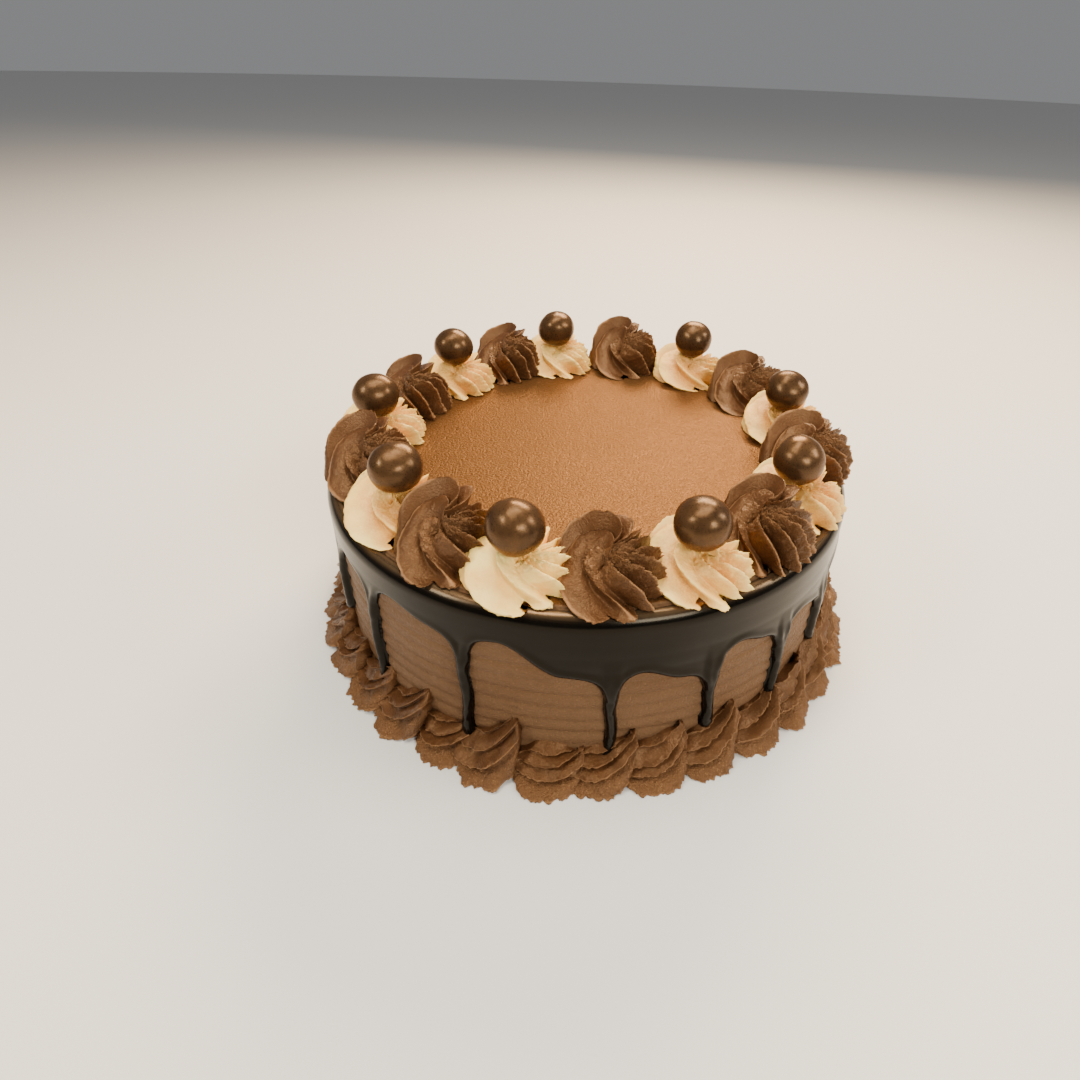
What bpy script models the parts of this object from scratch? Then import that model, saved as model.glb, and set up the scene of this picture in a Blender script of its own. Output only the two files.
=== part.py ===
# Chocolate cookie butter cake: a round cake coated in combed chocolate buttercream,
# with a poured chocolate drip over its edge, a ring of piped rosettes that carry
# chocolate balls, and a piped shell border round its foot.
# Metres, +Z up, origin at the middle of the underside.
import math
import random

import bmesh
import bpy
from mathutils import Vector

# Driving dimensions
CAKE_RADIUS = 0.1078
CAKE_HEIGHT = 0.074
EDGE_ROUNDING = 0.004
GAP = 0.0003

# Combed buttercream coat
DISC_RADIUS = 0.1032
DISC_STEP = 0.0016
COMB_PITCH = 0.0064
COMB_DEPTH = 0.0008
COMB_FIRST = 0.0175
COMB_RIDGES = 5
COAT_STEPS = 60

# Poured chocolate
GLAZE_THICKNESS = 0.0011
GLAZE_INNER_RADIUS = 0.1037
GLAZE_LIP = 0.0003
GLAZE_CLEARANCE = 0.0001
GLAZE_WALL_START = 0.0005
CURTAIN_ARCH = 0.003
CURTAIN_SHARE = 0.55
CURTAIN_PLACES = (0.38, 0.62)
FLARE_DROP = 0.008
FLARE_SPREAD = 5.0
NECK_DROP = 0.005
DRIP_WIDTH = 0.0058
DRIP_THICKNESS = 0.0021
DRIP_LOWEST = 0.0170
TIP_ROUNDING = 0.0022
EDGE_BULGE_HEIGHT = 0.0016
EDGE_SHARE = 0.35
EDGE_UNDERCUT = 0.0004
# Each column beside a drip: place in half widths of the drip, part of the glaze, thickness share
DRIP_COLUMNS = [
    (-1.70, "curtain", 0.60),
    (-1.05, "neck", 0.70),
    (-0.85, "side", 0.75),
    (0.00, "tip", 1.00),
    (0.85, "side", 0.75),
    (1.05, "neck", 0.70),
    (1.70, "curtain", 0.60),
]
# Each drip: azimuth in degrees, height of its end, height of the curtain on its right
DRIPS = [
    (-151, 0.025, 0.0585),
    (-135, 0.010, 0.0570),
    (-112, 0.013, 0.0560),
    (-85, 0.009, 0.0470),
    (-66, 0.017, 0.0500),
    (-49, 0.009, 0.0470),
    (-33, 0.020, 0.0490),
    (-14, 0.010, 0.0520),
    (9, 0.027, 0.0500),
    (31, 0.014, 0.0530),
    (52, 0.009, 0.0490),
    (76, 0.022, 0.0540),
    (98, 0.012, 0.0510),
    (121, 0.030, 0.0540),
    (143, 0.010, 0.0500),
    (166, 0.018, 0.0560),
    (188, 0.011, 0.0560),
]

# Piped rosettes and chocolate balls
BALL_RADIUS = 0.0094
BALL_FLATNESS = 0.96
BALL_HEIGHT = 0.0212
BALL_SEGMENTS = 12
BALL_ROWS = 8
ROSETTE_RING_RADIUS = 0.0918
ROSETTE_RADIUS = 0.0178
CHOC_ROSETTE_HEIGHT = 0.0178
CHOC_CROWN = 0.93
CREAM_ROSETTE_HEIGHT = 0.0138
SOCKET_CLEARANCE = 0.0006
SEAM_MARGIN = 0.0001
# Unevenness of the piping: shift of a blade's foot in degrees, and spread of its reach
FOOT_SHIFT = 5
REACH_SPREAD = (0.95, 1.03)
# Valleys lie a little past half way between two crests, and lower than them at the crown
VALLEY_PLACE = 0.55
VALLEY_DIP = 0.10
CHOC_SEED = 40
CREAM_SEED = 70
# Each ball: azimuth in degrees, distance from the cake's axis
BALLS = [
    (-104, 0.0935),
    (-67, 0.0940),
    (-30, 0.0895),
    (11, 0.0890),
    (56, 0.0945),
    (102, 0.0905),
    (139, 0.0900),
    (179, 0.0905),
    (220, 0.0885),
]
# Each blade of a swirl: azimuth of its foot, reach as a share of the radius, turn in degrees
CHOC_BLADES = [
    (-104, 1.00, 120),
    (-66, 1.00, 95),
    (-36, 0.96, 70),
    (-8, 1.00, 50),
    (20, 1.00, 45),
    (52, 0.94, 50),
    (96, 0.92, 75),
    (166, 0.96, 105),
]
CREAM_BLADES = [
    (-112, 1.00, 100),
    (-72, 1.00, 85),
    (-34, 0.90, 60),
    (2, 0.98, 40),
    (34, 0.94, 40),
    (74, 0.92, 60),
    (136, 1.00, 90),
]
# Swirl outline from the foot upwards: crest radius, valley radius, height, share of the turn
CHOC_LEVELS = [
    (0.86, 0.62, 0.00, 0.00),
    (1.00, 0.70, 0.14, 0.06),
    (0.96, 0.62, 0.46, 0.24),
    (0.78, 0.46, 0.78, 0.50),
    (0.46, 0.27, 1.00, 0.82),
    (0.15, 0.10, 0.97, 1.00),
]
CREAM_LEVELS = [
    (0.88, 0.70, 0.00, 0.00),
    (1.00, 0.80, 0.16, 0.08),
    (0.94, 0.72, 0.55, 0.30),
    (0.74, 0.58, 0.94, 0.60),
    (0.46, 0.36, 0.98, 0.85),
]
SOCKET_LEVELS = [0.0055, 0.0028]

# Piped shell border
SHELL_COUNT = 35
SHELL_COLUMNS = 4
SHELL_TOE = 0.0126
SHELL_HEIGHT = 0.0152
SHELL_BACK_STEP = 0.0003
SHELL_SLANT = 0.0022
SHELL_TALL = 1.35
SHELL_TALL_AZIMUTH = -40
SHELL_TALL_SPREAD = 14
# Shell outline from wall to toe at mid shell: reach from the wall, height, fall back at the seam
SHELL_OUTLINE = [
    (0.04, 0.94, 0.00),
    (0.34, 1.00, 0.20),
    (0.33, 0.76, 0.24),
    (0.68, 0.70, 0.38),
    (0.64, 0.44, 0.34),
    (1.00, 0.34, 0.32),
    (0.90, 0.00, 0.28),
]
SEAM_HEIGHT = 0.74

# Colours and finishes
BUTTERCREAM = ("chocolate_buttercream", (0.36, 0.205, 0.125), 0.60)
GANACHE = ("ganache", (0.030, 0.021, 0.017), 0.22)
PIPING = ("chocolate_piping", (0.235, 0.105, 0.048), 0.62)
CREAM = ("cookie_butter_cream", (0.80, 0.60, 0.37), 0.62)
BALL_COAT = ("ball_chocolate", (0.085, 0.043, 0.022), 0.25)


def clear_scene():
    for item in list(bpy.data.objects):
        bpy.data.objects.remove(item, do_unlink=True)


def make_material(name, colour, roughness):
    made = bpy.data.materials.new(name)
    made.use_nodes = True
    shader = made.node_tree.nodes["Principled BSDF"]
    shader.inputs["Base Color"].default_value = (*colour, 1.0)
    shader.inputs["Roughness"].default_value = roughness
    shader.inputs["Metallic"].default_value = 0.0
    return made


def make_object(name, bm, finish):
    bmesh.ops.recalc_face_normals(bm, faces=bm.faces)
    bmesh.ops.triangulate(bm, faces=bm.faces)
    mesh = bpy.data.meshes.new(name)
    bm.to_mesh(mesh)
    bm.free()
    mesh.shade_smooth()
    mesh.set_sharp_from_angle(angle=math.radians(35))
    mesh.materials.append(finish)
    placed = bpy.data.objects.new(name, mesh)
    bpy.context.collection.objects.link(placed)
    return placed


def skin(bm, loops, wrap):
    # Quads between neighbouring closed loops of equal length; the last meets the first if wrap
    rings = [[bm.verts.new(point) for point in loop] for loop in loops]
    pairs = list(zip(rings, rings[1:]))
    if wrap:
        pairs.append((rings[-1], rings[0]))
    for low, high in pairs:
        for i in range(len(low)):
            j = (i + 1) % len(low)
            bm.faces.new((low[i], low[j], high[j], high[i]))
    return rings


def close_ring(bm, ring, centre):
    tip = bm.verts.new(centre)
    for i, corner in enumerate(ring):
        bm.faces.new((corner, ring[(i + 1) % len(ring)], tip))


def polar(radius, azimuth, height=0.0):
    return Vector((radius * math.cos(azimuth), radius * math.sin(azimuth), height))


def angle_between(azimuth, other):
    # Signed difference in degrees, within half a turn
    return (azimuth - other + 180) % 360 - 180


def cake_body(finish):
    # Turned profile: flat foot, combed wall, rounded shoulder, raised top disc
    shoulder_top = CAKE_HEIGHT - DISC_STEP
    shoulder_low = shoulder_top - EDGE_ROUNDING
    valley = CAKE_RADIUS - COMB_DEPTH
    profile = [(0.0, 0.0), (CAKE_RADIUS, 0.0)]
    for ridge in range(COMB_RIDGES):
        crest = COMB_FIRST + ridge * COMB_PITCH
        profile.append((CAKE_RADIUS, crest))
        profile.append((valley, crest + COMB_PITCH / 2))
    profile.append((CAKE_RADIUS, COMB_FIRST + COMB_RIDGES * COMB_PITCH))
    for angle in (0, 30, 60, 90):
        bend = math.radians(angle)
        reach = CAKE_RADIUS - EDGE_ROUNDING * (1 - math.cos(bend))
        profile.append((reach, shoulder_low + EDGE_ROUNDING * math.sin(bend)))
    profile.append((DISC_RADIUS, shoulder_top))
    profile.append((DISC_RADIUS - DISC_STEP / 3, CAKE_HEIGHT))
    profile.append((0.0, CAKE_HEIGHT))
    bm = bmesh.new()
    points = [bm.verts.new((reach, 0.0, height)) for reach, height in profile]
    edges = [bm.edges.new(pair) for pair in zip(points, points[1:])]
    bmesh.ops.spin(
        bm, geom=points + edges, cent=(0, 0, 0), axis=(0, 0, 1),
        angle=math.tau, steps=COAT_STEPS, use_merge=True,
    )
    bmesh.ops.remove_doubles(bm, verts=bm.verts, dist=0.00001)
    return make_object("cake_body", bm, finish)


def curtain_height(azimuth):
    # Lower edge of the curtain between two drips: it hangs a little lower beside each drip
    ordered = sorted(DRIPS, key=lambda drip: angle_between(azimuth, drip[0]) % 360)
    left = ordered[0]
    right = ordered[-1]
    after = angle_between(azimuth, left[0]) % 360
    span = angle_between(right[0], left[0]) % 360
    share = after / span
    rise = left[2] + CURTAIN_ARCH * math.sin(math.pi * share)
    beside = min(after, span - after)
    flare = FLARE_DROP * max(0.0, 1 - beside / FLARE_SPREAD) ** 2
    return rise - flare


def glaze_columns():
    # Azimuth, lower edge and thickness of each column of the glaze
    half = math.degrees(DRIP_WIDTH / CAKE_RADIUS) / 2
    columns = []
    for number, (azimuth, end, _) in enumerate(DRIPS):
        tip = max(end, DRIP_LOWEST)
        for side, part, thick in DRIP_COLUMNS:
            place = azimuth + side * half
            lower_edges = {
                "curtain": curtain_height(place),
                "neck": curtain_height(place) - NECK_DROP,
                "side": tip + TIP_ROUNDING,
                "tip": tip,
            }
            columns.append((place, lower_edges[part], thick))
        following = DRIPS[(number + 1) % len(DRIPS)][0]
        span = angle_between(following, azimuth) % 360
        for share in CURTAIN_PLACES:
            between = azimuth + share * span
            columns.append((between, curtain_height(between), CURTAIN_SHARE))
    return columns


def ganache_drip(finish):
    # A skin over the shoulder and down the wall, one closed section at each column
    shoulder_low = CAKE_HEIGHT - DISC_STEP - EDGE_ROUNDING
    bend_radius = CAKE_RADIUS - EDGE_ROUNDING
    inner = EDGE_ROUNDING + GAP
    outer = inner + GLAZE_THICKNESS
    loops = []
    for azimuth, low, share in glaze_columns():
        thick = DRIP_THICKNESS * share
        wall = CAKE_RADIUS + GAP
        bulge = wall + thick
        back = wall + GLAZE_CLEARANCE
        section = [(GLAZE_INNER_RADIUS, shoulder_low + inner)]
        section.append((GLAZE_INNER_RADIUS + GLAZE_LIP, shoulder_low + outer - GLAZE_LIP))
        for angle in (70, 35, 0):
            bend = math.radians(angle)
            section.append((bend_radius + outer * math.cos(bend), shoulder_low + outer * math.sin(bend)))
        section.append((bulge, (shoulder_low + low) / 2))
        section.append((bulge, low + EDGE_BULGE_HEIGHT))
        section.append((wall + EDGE_SHARE * thick, low))
        section.append((back, low + EDGE_UNDERCUT))
        section.append((back, shoulder_low - GLAZE_WALL_START))
        for angle in (25, 60):
            bend = math.radians(angle)
            around = inner + GLAZE_CLEARANCE
            section.append((bend_radius + around * math.cos(bend), shoulder_low + around * math.sin(bend)))
        turn = math.radians(azimuth)
        loops.append([polar(reach, turn, height) for reach, height in section])
    bm = bmesh.new()
    skin(bm, loops, wrap=True)
    return make_object("ganache_drip", bm, finish)


def ball_places():
    base = CAKE_HEIGHT + BALL_HEIGHT
    return [polar(radius, math.radians(azimuth), base) for azimuth, radius in BALLS]


def rosette_places():
    # Cream rosettes stand under the balls, chocolate ones half way between them
    places = []
    for number, (azimuth, radius) in enumerate(BALLS):
        following = BALLS[(number + 1) % len(BALLS)][0]
        halfway = azimuth + (angle_between(following, azimuth) % 360) / 2
        ring = (radius + ROSETTE_RING_RADIUS) / 2
        places.append(("cream", number, polar(ring, math.radians(azimuth))))
        places.append(("choc", number, polar(ROSETTE_RING_RADIUS, math.radians(halfway))))
    return places


def keep_between(point, centre, neighbours):
    # Draws a point of a swirl in towards its centre, so that it stays on its side of the seams
    offset = Vector((point.x - centre.x, point.y - centre.y))
    share = 1.0
    for other in neighbours:
        toward = Vector((other.x - centre.x, other.y - centre.y))
        limit = toward.length / 2 - (GAP + SEAM_MARGIN) / 2
        along = offset.dot(toward.normalized())
        if along > limit:
            share = min(share, limit / along)
    return Vector((centre.x + offset.x * share, centre.y + offset.y * share, point.z))


def swirl_rings(centre, neighbours, blades, levels, height, rng):
    # One ring for each level: crest and valley of every blade, turned further the higher it lies
    shifts = [rng.uniform(-FOOT_SHIFT, FOOT_SHIFT) for _ in blades]
    reaches = [rng.uniform(*REACH_SPREAD) for _ in blades]
    base = CAKE_HEIGHT + GAP
    rings = []
    for crest, valley, rise, turned in levels:
        ring = []
        for number, (foot, reach, turn) in enumerate(blades):
            following = blades[(number + 1) % len(blades)]
            start = foot + shifts[number] - turn * turned
            finish = following[0] + shifts[(number + 1) % len(blades)] - following[2] * turned
            middle = start + (angle_between(finish, start) % 360) * VALLEY_PLACE
            long_arm = ROSETTE_RADIUS * crest * reach * reaches[number]
            short_arm = ROSETTE_RADIUS * valley * (reach + following[1]) / 2
            dip = rise * (1.0 - VALLEY_DIP * turned)
            for arm, azimuth, lift in ((long_arm, start, rise), (short_arm, middle, dip)):
                point = centre + polar(arm, math.radians(azimuth), base + height * lift)
                ring.append(keep_between(point, centre, neighbours))
        rings.append(ring)
    return rings


def swirl_object(name, centre, rings, tip, finish):
    bm = bmesh.new()
    made = skin(bm, rings, wrap=False)
    close_ring(bm, made[0], (centre.x, centre.y, CAKE_HEIGHT + GAP))
    close_ring(bm, made[-1], tip)
    return make_object(name, bm, finish)


def choc_rosette(number, centre, neighbours, finish):
    rng = random.Random(CHOC_SEED + number)
    rings = swirl_rings(centre, neighbours, CHOC_BLADES, CHOC_LEVELS, CHOC_ROSETTE_HEIGHT, rng)
    tip = (centre.x, centre.y, CAKE_HEIGHT + CHOC_ROSETTE_HEIGHT * CHOC_CROWN)
    return swirl_object("choc_rosette_%02d" % (number + 1), centre, rings, tip, finish)


def below_ball(point, ball):
    # Lowers a point until it clears the ball that is pressed into the swirl
    reach = BALL_RADIUS + SOCKET_CLEARANCE
    aside = math.hypot(point.x - ball.x, point.y - ball.y)
    if aside < reach:
        point.z = min(point.z, ball.z - math.sqrt(reach * reach - aside * aside))
    return point


def cream_rosette(number, centre, neighbours, ball, finish):
    rng = random.Random(CREAM_SEED + number)
    rings = swirl_rings(centre, neighbours, CREAM_BLADES, CREAM_LEVELS, CREAM_ROSETTE_HEIGHT, rng)
    rings = [[below_ball(point, ball) for point in ring] for ring in rings]
    for radius in SOCKET_LEVELS:
        steps = len(rings[0])
        start = math.atan2(rings[-1][0].y - centre.y, rings[-1][0].x - centre.x)
        hollow = []
        for i in range(steps):
            point = ball + polar(radius, start + math.tau * i / steps)
            hollow.append(below_ball(point, ball))
        rings.append(hollow)
    tip = below_ball(ball.copy(), ball)
    return swirl_object("cream_rosette_%02d" % (number + 1), centre, rings, tip, finish)


def chocolate_ball(number, centre, finish):
    bm = bmesh.new()
    bmesh.ops.create_uvsphere(bm, u_segments=BALL_SEGMENTS, v_segments=BALL_ROWS, radius=BALL_RADIUS)
    bmesh.ops.scale(bm, vec=(1.0, 1.0, BALL_FLATNESS), verts=bm.verts)
    bmesh.ops.translate(bm, vec=centre, verts=bm.verts)
    return make_object("chocolate_ball_%02d" % (number + 1), bm, finish)


def shell_border(finish):
    # Shells side by side in one ring: three tiers, bowed out at mid shell, drawn in at the seams
    wall = CAKE_RADIUS + GAP
    total = SHELL_COUNT * SHELL_COLUMNS
    loops = []
    for column in range(total):
        azimuth = 360.0 * column / total
        phase = (column % SHELL_COLUMNS) / SHELL_COLUMNS
        bow = math.sin(math.pi * phase)
        slant = phase - 0.5 if phase else 0.0
        nearness = angle_between(azimuth, SHELL_TALL_AZIMUTH) / SHELL_TALL_SPREAD
        tall = 1 + (SHELL_TALL - 1) * math.exp(-nearness * nearness)
        section = [(wall, 0.0)]
        for reach, height, fall in SHELL_OUTLINE:
            out = wall + SHELL_TOE * (reach - fall * (1 - bow))
            out = max(out, wall + SHELL_BACK_STEP * (1 + len(section)))
            up = SHELL_HEIGHT * height * tall * (SEAM_HEIGHT + (1 - SEAM_HEIGHT) * bow)
            up += SHELL_SLANT * slant * min(1.0, 2 * height)
            section.append((out, up if height else 0.0))
        turn = math.radians(azimuth)
        loops.append([polar(reach, turn, max(0.0, height)) for reach, height in section])
    bm = bmesh.new()
    skin(bm, loops, wrap=True)
    return make_object("shell_border", bm, finish)


def build_cake():
    clear_scene()
    piping = make_material(*PIPING)
    cream = make_material(*CREAM)
    coat = make_material(*BALL_COAT)
    cake_body(make_material(*BUTTERCREAM))
    ganache_drip(make_material(*GANACHE))
    shell_border(piping)
    balls = ball_places()
    for number, centre in enumerate(balls):
        chocolate_ball(number, centre, coat)
    places = rosette_places()
    for index, (kind, number, centre) in enumerate(places):
        neighbours = [places[index - 1][2], places[(index + 1) % len(places)][2]]
        if kind == "cream":
            cream_rosette(number, centre, neighbours, balls[number], cream)
        else:
            choc_rosette(number, centre, neighbours, piping)


build_cake()
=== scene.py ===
import math
import random

import bmesh
import bpy
from mathutils import Matrix, Vector, noise
from mathutils.kdtree import KDTree


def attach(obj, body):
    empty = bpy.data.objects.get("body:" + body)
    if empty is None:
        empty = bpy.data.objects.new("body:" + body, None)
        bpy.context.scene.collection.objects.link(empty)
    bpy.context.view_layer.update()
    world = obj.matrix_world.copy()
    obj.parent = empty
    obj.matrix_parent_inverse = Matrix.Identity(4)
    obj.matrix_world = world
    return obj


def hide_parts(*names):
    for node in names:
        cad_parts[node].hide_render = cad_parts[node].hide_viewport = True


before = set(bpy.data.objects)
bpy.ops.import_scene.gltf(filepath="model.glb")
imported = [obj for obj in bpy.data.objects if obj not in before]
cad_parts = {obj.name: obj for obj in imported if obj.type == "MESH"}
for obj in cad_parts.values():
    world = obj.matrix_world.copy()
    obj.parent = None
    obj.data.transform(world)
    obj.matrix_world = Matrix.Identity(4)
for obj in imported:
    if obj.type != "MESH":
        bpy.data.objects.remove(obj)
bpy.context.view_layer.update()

# Buttercream coat
# The cake is coated all over in chocolate buttercream: the top is scraped flat and satin,
# with its own more orange tone and a metallic share as a painted warm sheen, and a comb held
# against the turning wall has left level ridges and a few small pits.
CAKE_RADIUS = 0.1078
CAKE_HEIGHT = 0.074
EDGE_ROUNDING = 0.004
DISC_RADIUS = 0.1032
DISC_STEP = 0.0016
COMB_PITCH = 0.0062
COMB_DEPTH = 0.0009
COMB_TOP = 0.068
COMB_FADE = 0.020
COAT_TURNS = 360
WALL_ROWS = 140
DISC_ROWS = 60
PIT_COUNT = 60
PIT_HEIGHTS = (0.020, 0.052)
PIT_SIZES = (0.0008, 0.0018)
PIT_DEPTH = 0.0008
WELD = 0.000002
SHOULDER_TOP = CAKE_HEIGHT - DISC_STEP
SHOULDER_LOW = SHOULDER_TOP - EDGE_ROUNDING
COAT_COLOUR = (0.124, 0.068, 0.035)
COAT_DARK = (0.099, 0.051, 0.025)
# Top tone: a painted warm sheen on the scraped top, darker and more orange than the wall
COAT_TOP_SHEEN = (0.108, 0.049, 0.0165)
# Colour of painted glints on sugar crystals
COAT_GLINT = (0.32, 0.19, 0.095)
WARM_SHEEN = (1.0, 0.60, 0.32, 1.0)


def polar(radius, azimuth, height=0.0):
    turn = math.radians(azimuth)
    return Vector((radius * math.cos(turn), radius * math.sin(turn), height))


def ease(value):
    held = min(1.0, max(0.0, value))
    return held * held * (3 - 2 * held)


def smooth_between(table, share):
    # Catmull-Rom curve through the rows of a table, read at a share of its length
    last = len(table) - 1
    spot = min(share * last, last - 0.000001)
    index = int(spot)
    step = spot - index
    rows = [table[min(max(index + shift, 0), last)] for shift in (-1, 0, 1, 2)]
    made = []
    for before, here, after, beyond in zip(*rows):
        slope_in = (after - before) / 2
        slope_out = (beyond - here) / 2
        cubic = 2 * here - 2 * after + slope_in + slope_out
        square = 3 * after - 3 * here - 2 * slope_in - slope_out
        made.append(((cubic * step + square) * step + slope_in) * step + here)
    return made


def finish_mesh(name, bm, material):
    bmesh.ops.remove_doubles(bm, verts=bm.verts, dist=WELD)
    bmesh.ops.recalc_face_normals(bm, faces=bm.faces)
    mesh = bpy.data.meshes.new(name)
    bm.to_mesh(mesh)
    bm.free()
    mesh.shade_smooth()
    mesh.materials.append(material)
    piece = bpy.data.objects.new(name, mesh)
    bpy.context.collection.objects.link(piece)
    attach(piece, "root")
    return piece


def new_group(name, inputs, outputs):
    group = bpy.data.node_groups.new(name, "ShaderNodeTree")
    for label, start in inputs:
        socket = group.interface.new_socket(label, in_out="INPUT", socket_type="NodeSocketFloat")
        socket.default_value = start
    for label in outputs:
        group.interface.new_socket(label, in_out="OUTPUT", socket_type="NodeSocketFloat")
    return group, group.nodes.new("NodeGroupInput"), group.nodes.new("NodeGroupOutput")


def add_noise(tree, vector, scale, detail=3.0, rough=0.55):
    made = tree.nodes.new("ShaderNodeTexNoise")
    made.inputs["Detail"].default_value = detail
    made.inputs["Roughness"].default_value = rough
    tree.links.new(vector, made.inputs["Vector"])
    if isinstance(scale, (int, float)):
        made.inputs["Scale"].default_value = scale
    else:
        tree.links.new(scale, made.inputs["Scale"])
    return made.outputs["Fac"]


def read_attribute(tree, name):
    made = tree.nodes.new("ShaderNodeAttribute")
    made.attribute_name = name
    return made.outputs["Fac"]


def remap(tree, value, low, high, out_low=0.0, out_high=1.0):
    made = tree.nodes.new("ShaderNodeMapRange")
    tree.links.new(value, made.inputs["Value"])
    made.inputs["From Min"].default_value = low
    made.inputs["From Max"].default_value = high
    made.inputs["To Min"].default_value = out_low
    made.inputs["To Max"].default_value = out_high
    return made.outputs["Result"]


def combine(tree, kind, first, second):
    made = tree.nodes.new("ShaderNodeMath")
    made.operation = kind
    for socket, value in zip(made.inputs, (first, second)):
        if isinstance(value, (int, float)):
            socket.default_value = value
        else:
            tree.links.new(value, socket)
    return made.outputs["Value"]


def mix_colour(tree, share, first, second):
    made = tree.nodes.new("ShaderNodeMix")
    made.data_type = "RGBA"
    tree.links.new(share, made.inputs["Factor"])
    for label, value in (("A", first), ("B", second)):
        socket = [entry for entry in made.inputs if entry.name == label and entry.type == "RGBA"][0]
        if isinstance(value, tuple):
            socket.default_value = (*value, 1.0)
        else:
            tree.links.new(value, socket)
    return [entry for entry in made.outputs if entry.type == "RGBA"][0]


def new_material(name, roughness):
    material = bpy.data.materials.new(name)
    material.use_nodes = True
    shader = material.node_tree.nodes["Principled BSDF"]
    shader.inputs["Roughness"].default_value = roughness
    return material, material.node_tree, shader


def add_bump(tree, shader, height, strength, distance):
    bump = tree.nodes.new("ShaderNodeBump")
    bump.inputs["Strength"].default_value = strength
    bump.inputs["Distance"].default_value = distance
    tree.links.new(height, bump.inputs["Height"])
    tree.links.new(bump.outputs["Normal"], shader.inputs["Normal"])


def whipped_group():
    # Fat and sugar in beaten buttercream: broad mottle, fine grain and a few bright specks as painted
    # glints of sugar crystals
    group, entry, leave = new_group(
        "whipped_surface", [("Mottle Scale", 60.0), ("Grain Scale", 1500.0)],
        ["Mottle", "Grain", "Crystal Glints"],
    )
    place = group.nodes.new("ShaderNodeTexCoord").outputs["Object"]
    mottle = add_noise(group, place, entry.outputs["Mottle Scale"], 4.0, 0.6)
    grain = add_noise(group, place, entry.outputs["Grain Scale"], 2.0, 0.6)
    specks = group.nodes.new("ShaderNodeTexVoronoi")
    specks.inputs["Scale"].default_value = 1500.0
    group.links.new(place, specks.inputs["Vector"])
    chosen = group.nodes.new("ShaderNodeSeparateColor")
    group.links.new(specks.outputs["Color"], chosen.inputs["Color"])
    near = remap(group, specks.outputs["Distance"], 0.42, 0.15)
    picked = remap(group, chosen.outputs["Red"], 0.72, 0.78)
    group.links.new(mottle, leave.inputs["Mottle"])
    group.links.new(grain, leave.inputs["Grain"])
    group.links.new(combine(group, "MULTIPLY", near, picked), leave.inputs["Crystal Glints"])
    return group


whipped = whipped_group()


def use_whipped(tree, mottle_scale, grain_scale):
    made = tree.nodes.new("ShaderNodeGroup")
    made.node_tree = whipped
    made.inputs["Mottle Scale"].default_value = mottle_scale
    made.inputs["Grain Scale"].default_value = grain_scale
    return made.outputs


def coat_material():
    material, tree, shader = new_material("chocolate_buttercream", 0.5)
    surface = use_whipped(tree, 35.0, 1100.0)
    patch = remap(tree, surface["Mottle"], 0.3, 0.7)
    tone = mix_colour(tree, patch, COAT_DARK, COAT_COLOUR)
    scraped_and_sheen = read_attribute(tree, "scraped_and_sheen")
    # Painted warm sheen: the scraped top takes its own darker, more orange tone, which the metallic
    # share below turns into a warm reflection
    tone = mix_colour(tree, scraped_and_sheen, tone, COAT_TOP_SHEEN)
    crystal_glints = combine(tree, "MULTIPLY", surface["Crystal Glints"], 0.3)
    # Painted glints: the sugar crystal specks are drawn in a lighter colour
    tone = mix_colour(tree, crystal_glints, tone, COAT_GLINT)
    tree.links.new(tone, shader.inputs["Base Color"])
    shader.inputs["Specular IOR Level"].default_value = 0.17
    shader.inputs["Specular Tint"].default_value = WARM_SHEEN
    sheen = combine(tree, "MULTIPLY", scraped_and_sheen, 0.45)
    tree.links.new(sheen, shader.inputs["Metallic"])
    gloss = remap(tree, surface["Grain"], 0.3, 0.7, 0.42, 0.58)
    smoothed = combine(tree, "MULTIPLY", scraped_and_sheen, 0.16)
    tree.links.new(combine(tree, "SUBTRACT", gloss, smoothed), shader.inputs["Roughness"])
    add_bump(tree, shader, surface["Grain"], 0.8, 0.0005)
    return material


def comb_ridge(height, azimuth):
    # Grooves between the ridges left by the comb, deeper near the foot and fading upward
    waver = 0.0006 * math.sin(math.radians(azimuth * 2 + 40))
    waver += 0.0004 * math.sin(math.radians(azimuth * 5))
    waver += 0.0006 * noise.noise(Vector((azimuth * 0.04, height * 90, 0.0)))
    scallop = abs(math.sin((height + waver) / COMB_PITCH * math.pi)) ** 0.7
    uneven = 0.75 + 0.35 * math.sin(math.radians(azimuth * 3 + 20)) * math.sin(height * 400)
    fade = ease((COMB_TOP - height) / COMB_FADE)
    return COMB_DEPTH * uneven * fade * (1.3 - 8.0 * min(height, 0.06)) * (1 - scallop)


def coat_profile():
    profile = [(0.0, 0.0), (0.05, 0.0), (CAKE_RADIUS - 0.001, 0.0)]
    for row in range(WALL_ROWS + 1):
        profile.append((CAKE_RADIUS, SHOULDER_LOW * (row + 0.5) / (WALL_ROWS + 0.5)))
    for angle in range(10, 91, 10):
        bend = math.radians(angle)
        reach = CAKE_RADIUS - EDGE_ROUNDING * (1 - math.cos(bend))
        profile.append((reach, SHOULDER_LOW + EDGE_ROUNDING * math.sin(bend)))
    profile += [(DISC_RADIUS + 0.0003, SHOULDER_TOP), (DISC_RADIUS, SHOULDER_TOP + 0.0008)]
    profile += [(DISC_RADIUS - 0.0003, CAKE_HEIGHT - 0.0002)]
    for row in range(DISC_ROWS + 1):
        profile.append(((DISC_RADIUS - 0.001) * (1 - row / DISC_ROWS), CAKE_HEIGHT))
    return profile


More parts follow.
